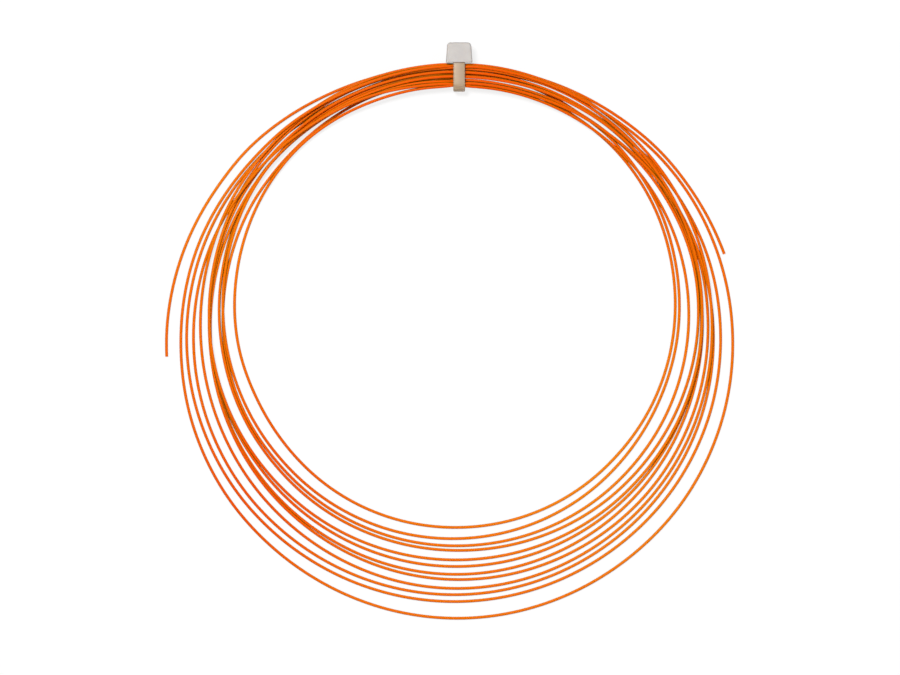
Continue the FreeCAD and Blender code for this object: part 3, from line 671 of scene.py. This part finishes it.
def swept_strap(sizes, material):
    """The strap as one plain mesh: its nodes run on its centre line, and the result is kept."""
    low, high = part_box("tie_strap")
    guide = bpy.data.meshes.new("strap_line")
    middle = (low[0] + high[0]) / 2
    places = [(middle, low[1] + along * MM, height * MM) for along, height, _ in STRAP_LINE]
    guide.from_pydata(places, [(place, place + 1) for place in range(len(places) - 1)], [])
    bends = guide.attributes.new("bend", "FLOAT", "POINT")
    for value, (_, _, bend) in zip(bends.data, STRAP_LINE):
        value.value = bend * MM
    piece = bpy.data.objects.new("strap", guide)
    bpy.context.scene.collection.objects.link(piece)
    modifier = piece.modifiers.new("Strap and teeth", "NODES")
    modifier.node_group = strap_tree()
    known = {"Material": material}
    for name, prop in sizes.bl_rna.properties.items():
        if name not in UNSHOWN:
            known[prop.name] = getattr(sizes, name)
    for socket in modifier.node_group.interface.items_tree:
        if socket.in_out == "INPUT" and socket.name in known:
            modifier[socket.identifier] = known[socket.name]
    seen = piece.evaluated_get(bpy.context.evaluated_depsgraph_get())
    swept = bpy.data.meshes.new_from_object(seen)
    piece.modifiers.clear()
    piece.data = swept
    swept.name = "strap"
    swept.shade_smooth()
    swept.set_sharp_from_angle(angle=math.radians(SHARP_ANGLE))
    return piece


# The pieces


class FIBRECOIL_OT_wind_cord(bpy.types.Operator):
    """Wind the orange cord, from one bare end to the other, with the coated glass fibre inside it"""
    bl_idname = "fibrecoil.wind_cord"
    bl_label = "Wind the cord"

    def execute(self, context):
        sizes = context.scene.coil_sizes
        colours = context.scene.coil_colours
        points = cord_points(sizes)
        cord = thread("cord", points, sizes.cord_wide, CORD_SIDES, 0)
        finish_with(cord, extruded_buffer(colours))
        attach(cord, BUNDLE)
        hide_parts("tight_buffer")
        # Each inner layer stands a little out of the cut, so that both cuts show.
        coating = thread("coating", points, sizes.coating_wide, CORE_SIDES, CUT_STEP * MM)
        finish_with(coating, cured_acrylate())
        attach(coating, BUNDLE)
        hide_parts("primary_coating")
        glass = thread("glass", points, sizes.glass_wide, CORE_SIDES, 2 * CUT_STEP * MM)
        finish_with(glass, drawn_glass())
        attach(glass, BUNDLE)
        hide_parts("glass_fibre")
        return {"FINISHED"}


class FIBRECOIL_OT_sweep_strap(bpy.types.Operator):
    """Sweep the cable tie's strap round the bundle and through its head, with its row of teeth"""
    bl_idname = "fibrecoil.sweep_strap"
    bl_label = "Sweep the strap"

    def execute(self, context):
        colour = context.scene.coil_colours.strap
        nylon = moulded_nylon("Moulded nylon of the strap", colour, STRAP_CLEAR, STRAP_ROUGH)
        strap = swept_strap(context.scene.strap_sizes, nylon)
        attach(strap, BUNDLE)
        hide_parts("tie_strap")
        return {"FINISHED"}


class FIBRECOIL_OT_dress_head(bpy.types.Operator):
    """Give the cable tie's head and pawl their moulded nylon"""
    bl_idname = "fibrecoil.dress_head"
    bl_label = "Dress the head and the pawl"

    def execute(self, context):
        colour = context.scene.coil_colours.head
        nylon = moulded_nylon("Moulded nylon of the head", colour, HEAD_CLEAR, HEAD_ROUGH)
        for node in ("tie_head", "tie_pawl"):
            finish_with(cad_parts[node], nylon)
        return {"FINISHED"}


class FIBRECOIL_OT_set_stage(bpy.types.Operator):
    """Lay the board, and set the lamps, the world and the camera that looks straight down"""
    bl_idname = "fibrecoil.set_stage"
    bl_label = "Set the stage"

    def execute(self, context):
        scene = context.scene
        scene.view_settings.view_transform = "Standard"
        board = bpy.data.meshes.new("floor")
        corners = [(BOARD_HALF * x, BOARD_HALF * y, 0) for x, y in ((-1, -1), (1, -1), (1, 1), (-1, 1))]
        board.from_pydata(corners, [], [(0, 1, 2, 3)])
        floor = bpy.data.objects.new("floor", board)
        scene.collection.objects.link(floor)
        finish_with(floor, painted_board("Matt grey paint on board", BOARD_COLOUR, BOARD_LIFT))
        add_lamp("key_lamp", *KEY_LAMP)
        add_lamp("fill_lamp", *FILL_LAMP)
        set_world(scene)
        add_camera(scene)
        return {"FINISHED"}


def add_lamp(name, place, wide, power):
    """A square soft lamp that shines on the middle of the coil."""
    light = bpy.data.lights.new(name, "AREA")
    light.size = wide
    light.energy = power
    lamp = bpy.data.objects.new(name, light)
    lamp.location = place
    lamp.rotation_euler = (-Vector(place)).to_track_quat("-Z", "Y").to_euler()
    bpy.context.scene.collection.objects.link(lamp)


def set_world(scene):
    """An even low light all round, white to the rays that look at it."""
    world = bpy.data.worlds.new("Pale studio")
    world.use_nodes = True
    tree = world.node_tree
    tree.nodes.clear()
    strength = add_node(tree, "ShaderNodeMapRange", {"To Min": WORLD_LIGHT, "To Max": WORLD_SEEN},
                        {"Value": looking_rays(tree)})
    air = add_node(tree, "ShaderNodeBackground", {"Color": (1, 1, 1, 1)},
                   {"Strength": strength.outputs["Result"]})
    add_node(tree, "ShaderNodeOutputWorld", None, {"Surface": air.outputs["Background"]})
    scene.world = world


def add_camera(scene):
    """A camera straight above, with the photograph's frame round the coil."""
    wide = PHOTO_WIDE * MM_PER_PIXEL * MM
    middle = coil_middle()
    look_x = middle.x + (PHOTO_WIDE / 2 - COIL_PIXEL[0]) * MM_PER_PIXEL * MM
    look_y = middle.y - (PHOTO_HIGH / 2 - COIL_PIXEL[1]) * MM_PER_PIXEL * MM
    lens = bpy.data.cameras.new("camera")
    lens.sensor_width = SENSOR_WIDE
    lens.lens = SENSOR_WIDE * CAMERA_UP / wide
    lens.clip_end = CAMERA_SEES
    camera = bpy.data.objects.new("camera", lens)
    camera.location = (look_x, look_y, CAMERA_UP)
    scene.collection.objects.link(camera)
    scene.camera = camera


class FIBRECOIL_PT_panel(bpy.types.Panel):
    """The steps that make the coil of fibre"""
    bl_idname = "FIBRECOIL_PT_panel"
    bl_label = "Fibre Coil"
    bl_space_type = "VIEW_3D"
    bl_region_type = "UI"
    bl_category = "Fibre Coil"

    def draw(self, context):
        for group in (context.scene.coil_sizes, context.scene.strap_sizes, context.scene.coil_colours):
            for name in group.bl_rna.properties.keys():
                if name not in UNSHOWN:
                    self.layout.prop(group, name)
        for step in STEPS:
            self.layout.operator(step.bl_idname)


STEPS = (FIBRECOIL_OT_wind_cord, FIBRECOIL_OT_sweep_strap, FIBRECOIL_OT_dress_head, FIBRECOIL_OT_set_stage)
CLASSES = (CoilSizes, StrapSizes, CoilColours, *STEPS, FIBRECOIL_PT_panel)


def register():
    for kind in CLASSES:
        bpy.utils.register_class(kind)
    bpy.types.Scene.coil_sizes = bpy.props.PointerProperty(type=CoilSizes)
    bpy.types.Scene.strap_sizes = bpy.props.PointerProperty(type=StrapSizes)
    bpy.types.Scene.coil_colours = bpy.props.PointerProperty(type=CoilColours)


def unregister():
    del bpy.types.Scene.coil_colours
    del bpy.types.Scene.strap_sizes
    del bpy.types.Scene.coil_sizes
    for kind in reversed(CLASSES):
        bpy.utils.unregister_class(kind)


def main():
    """Make the pieces and the stage."""
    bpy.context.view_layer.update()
    register()
    bpy.ops.fibrecoil.wind_cord()
    bpy.ops.fibrecoil.sweep_strap()
    bpy.ops.fibrecoil.dress_head()
    bpy.ops.fibrecoil.set_stage()


if __name__ == "__main__":
    main()
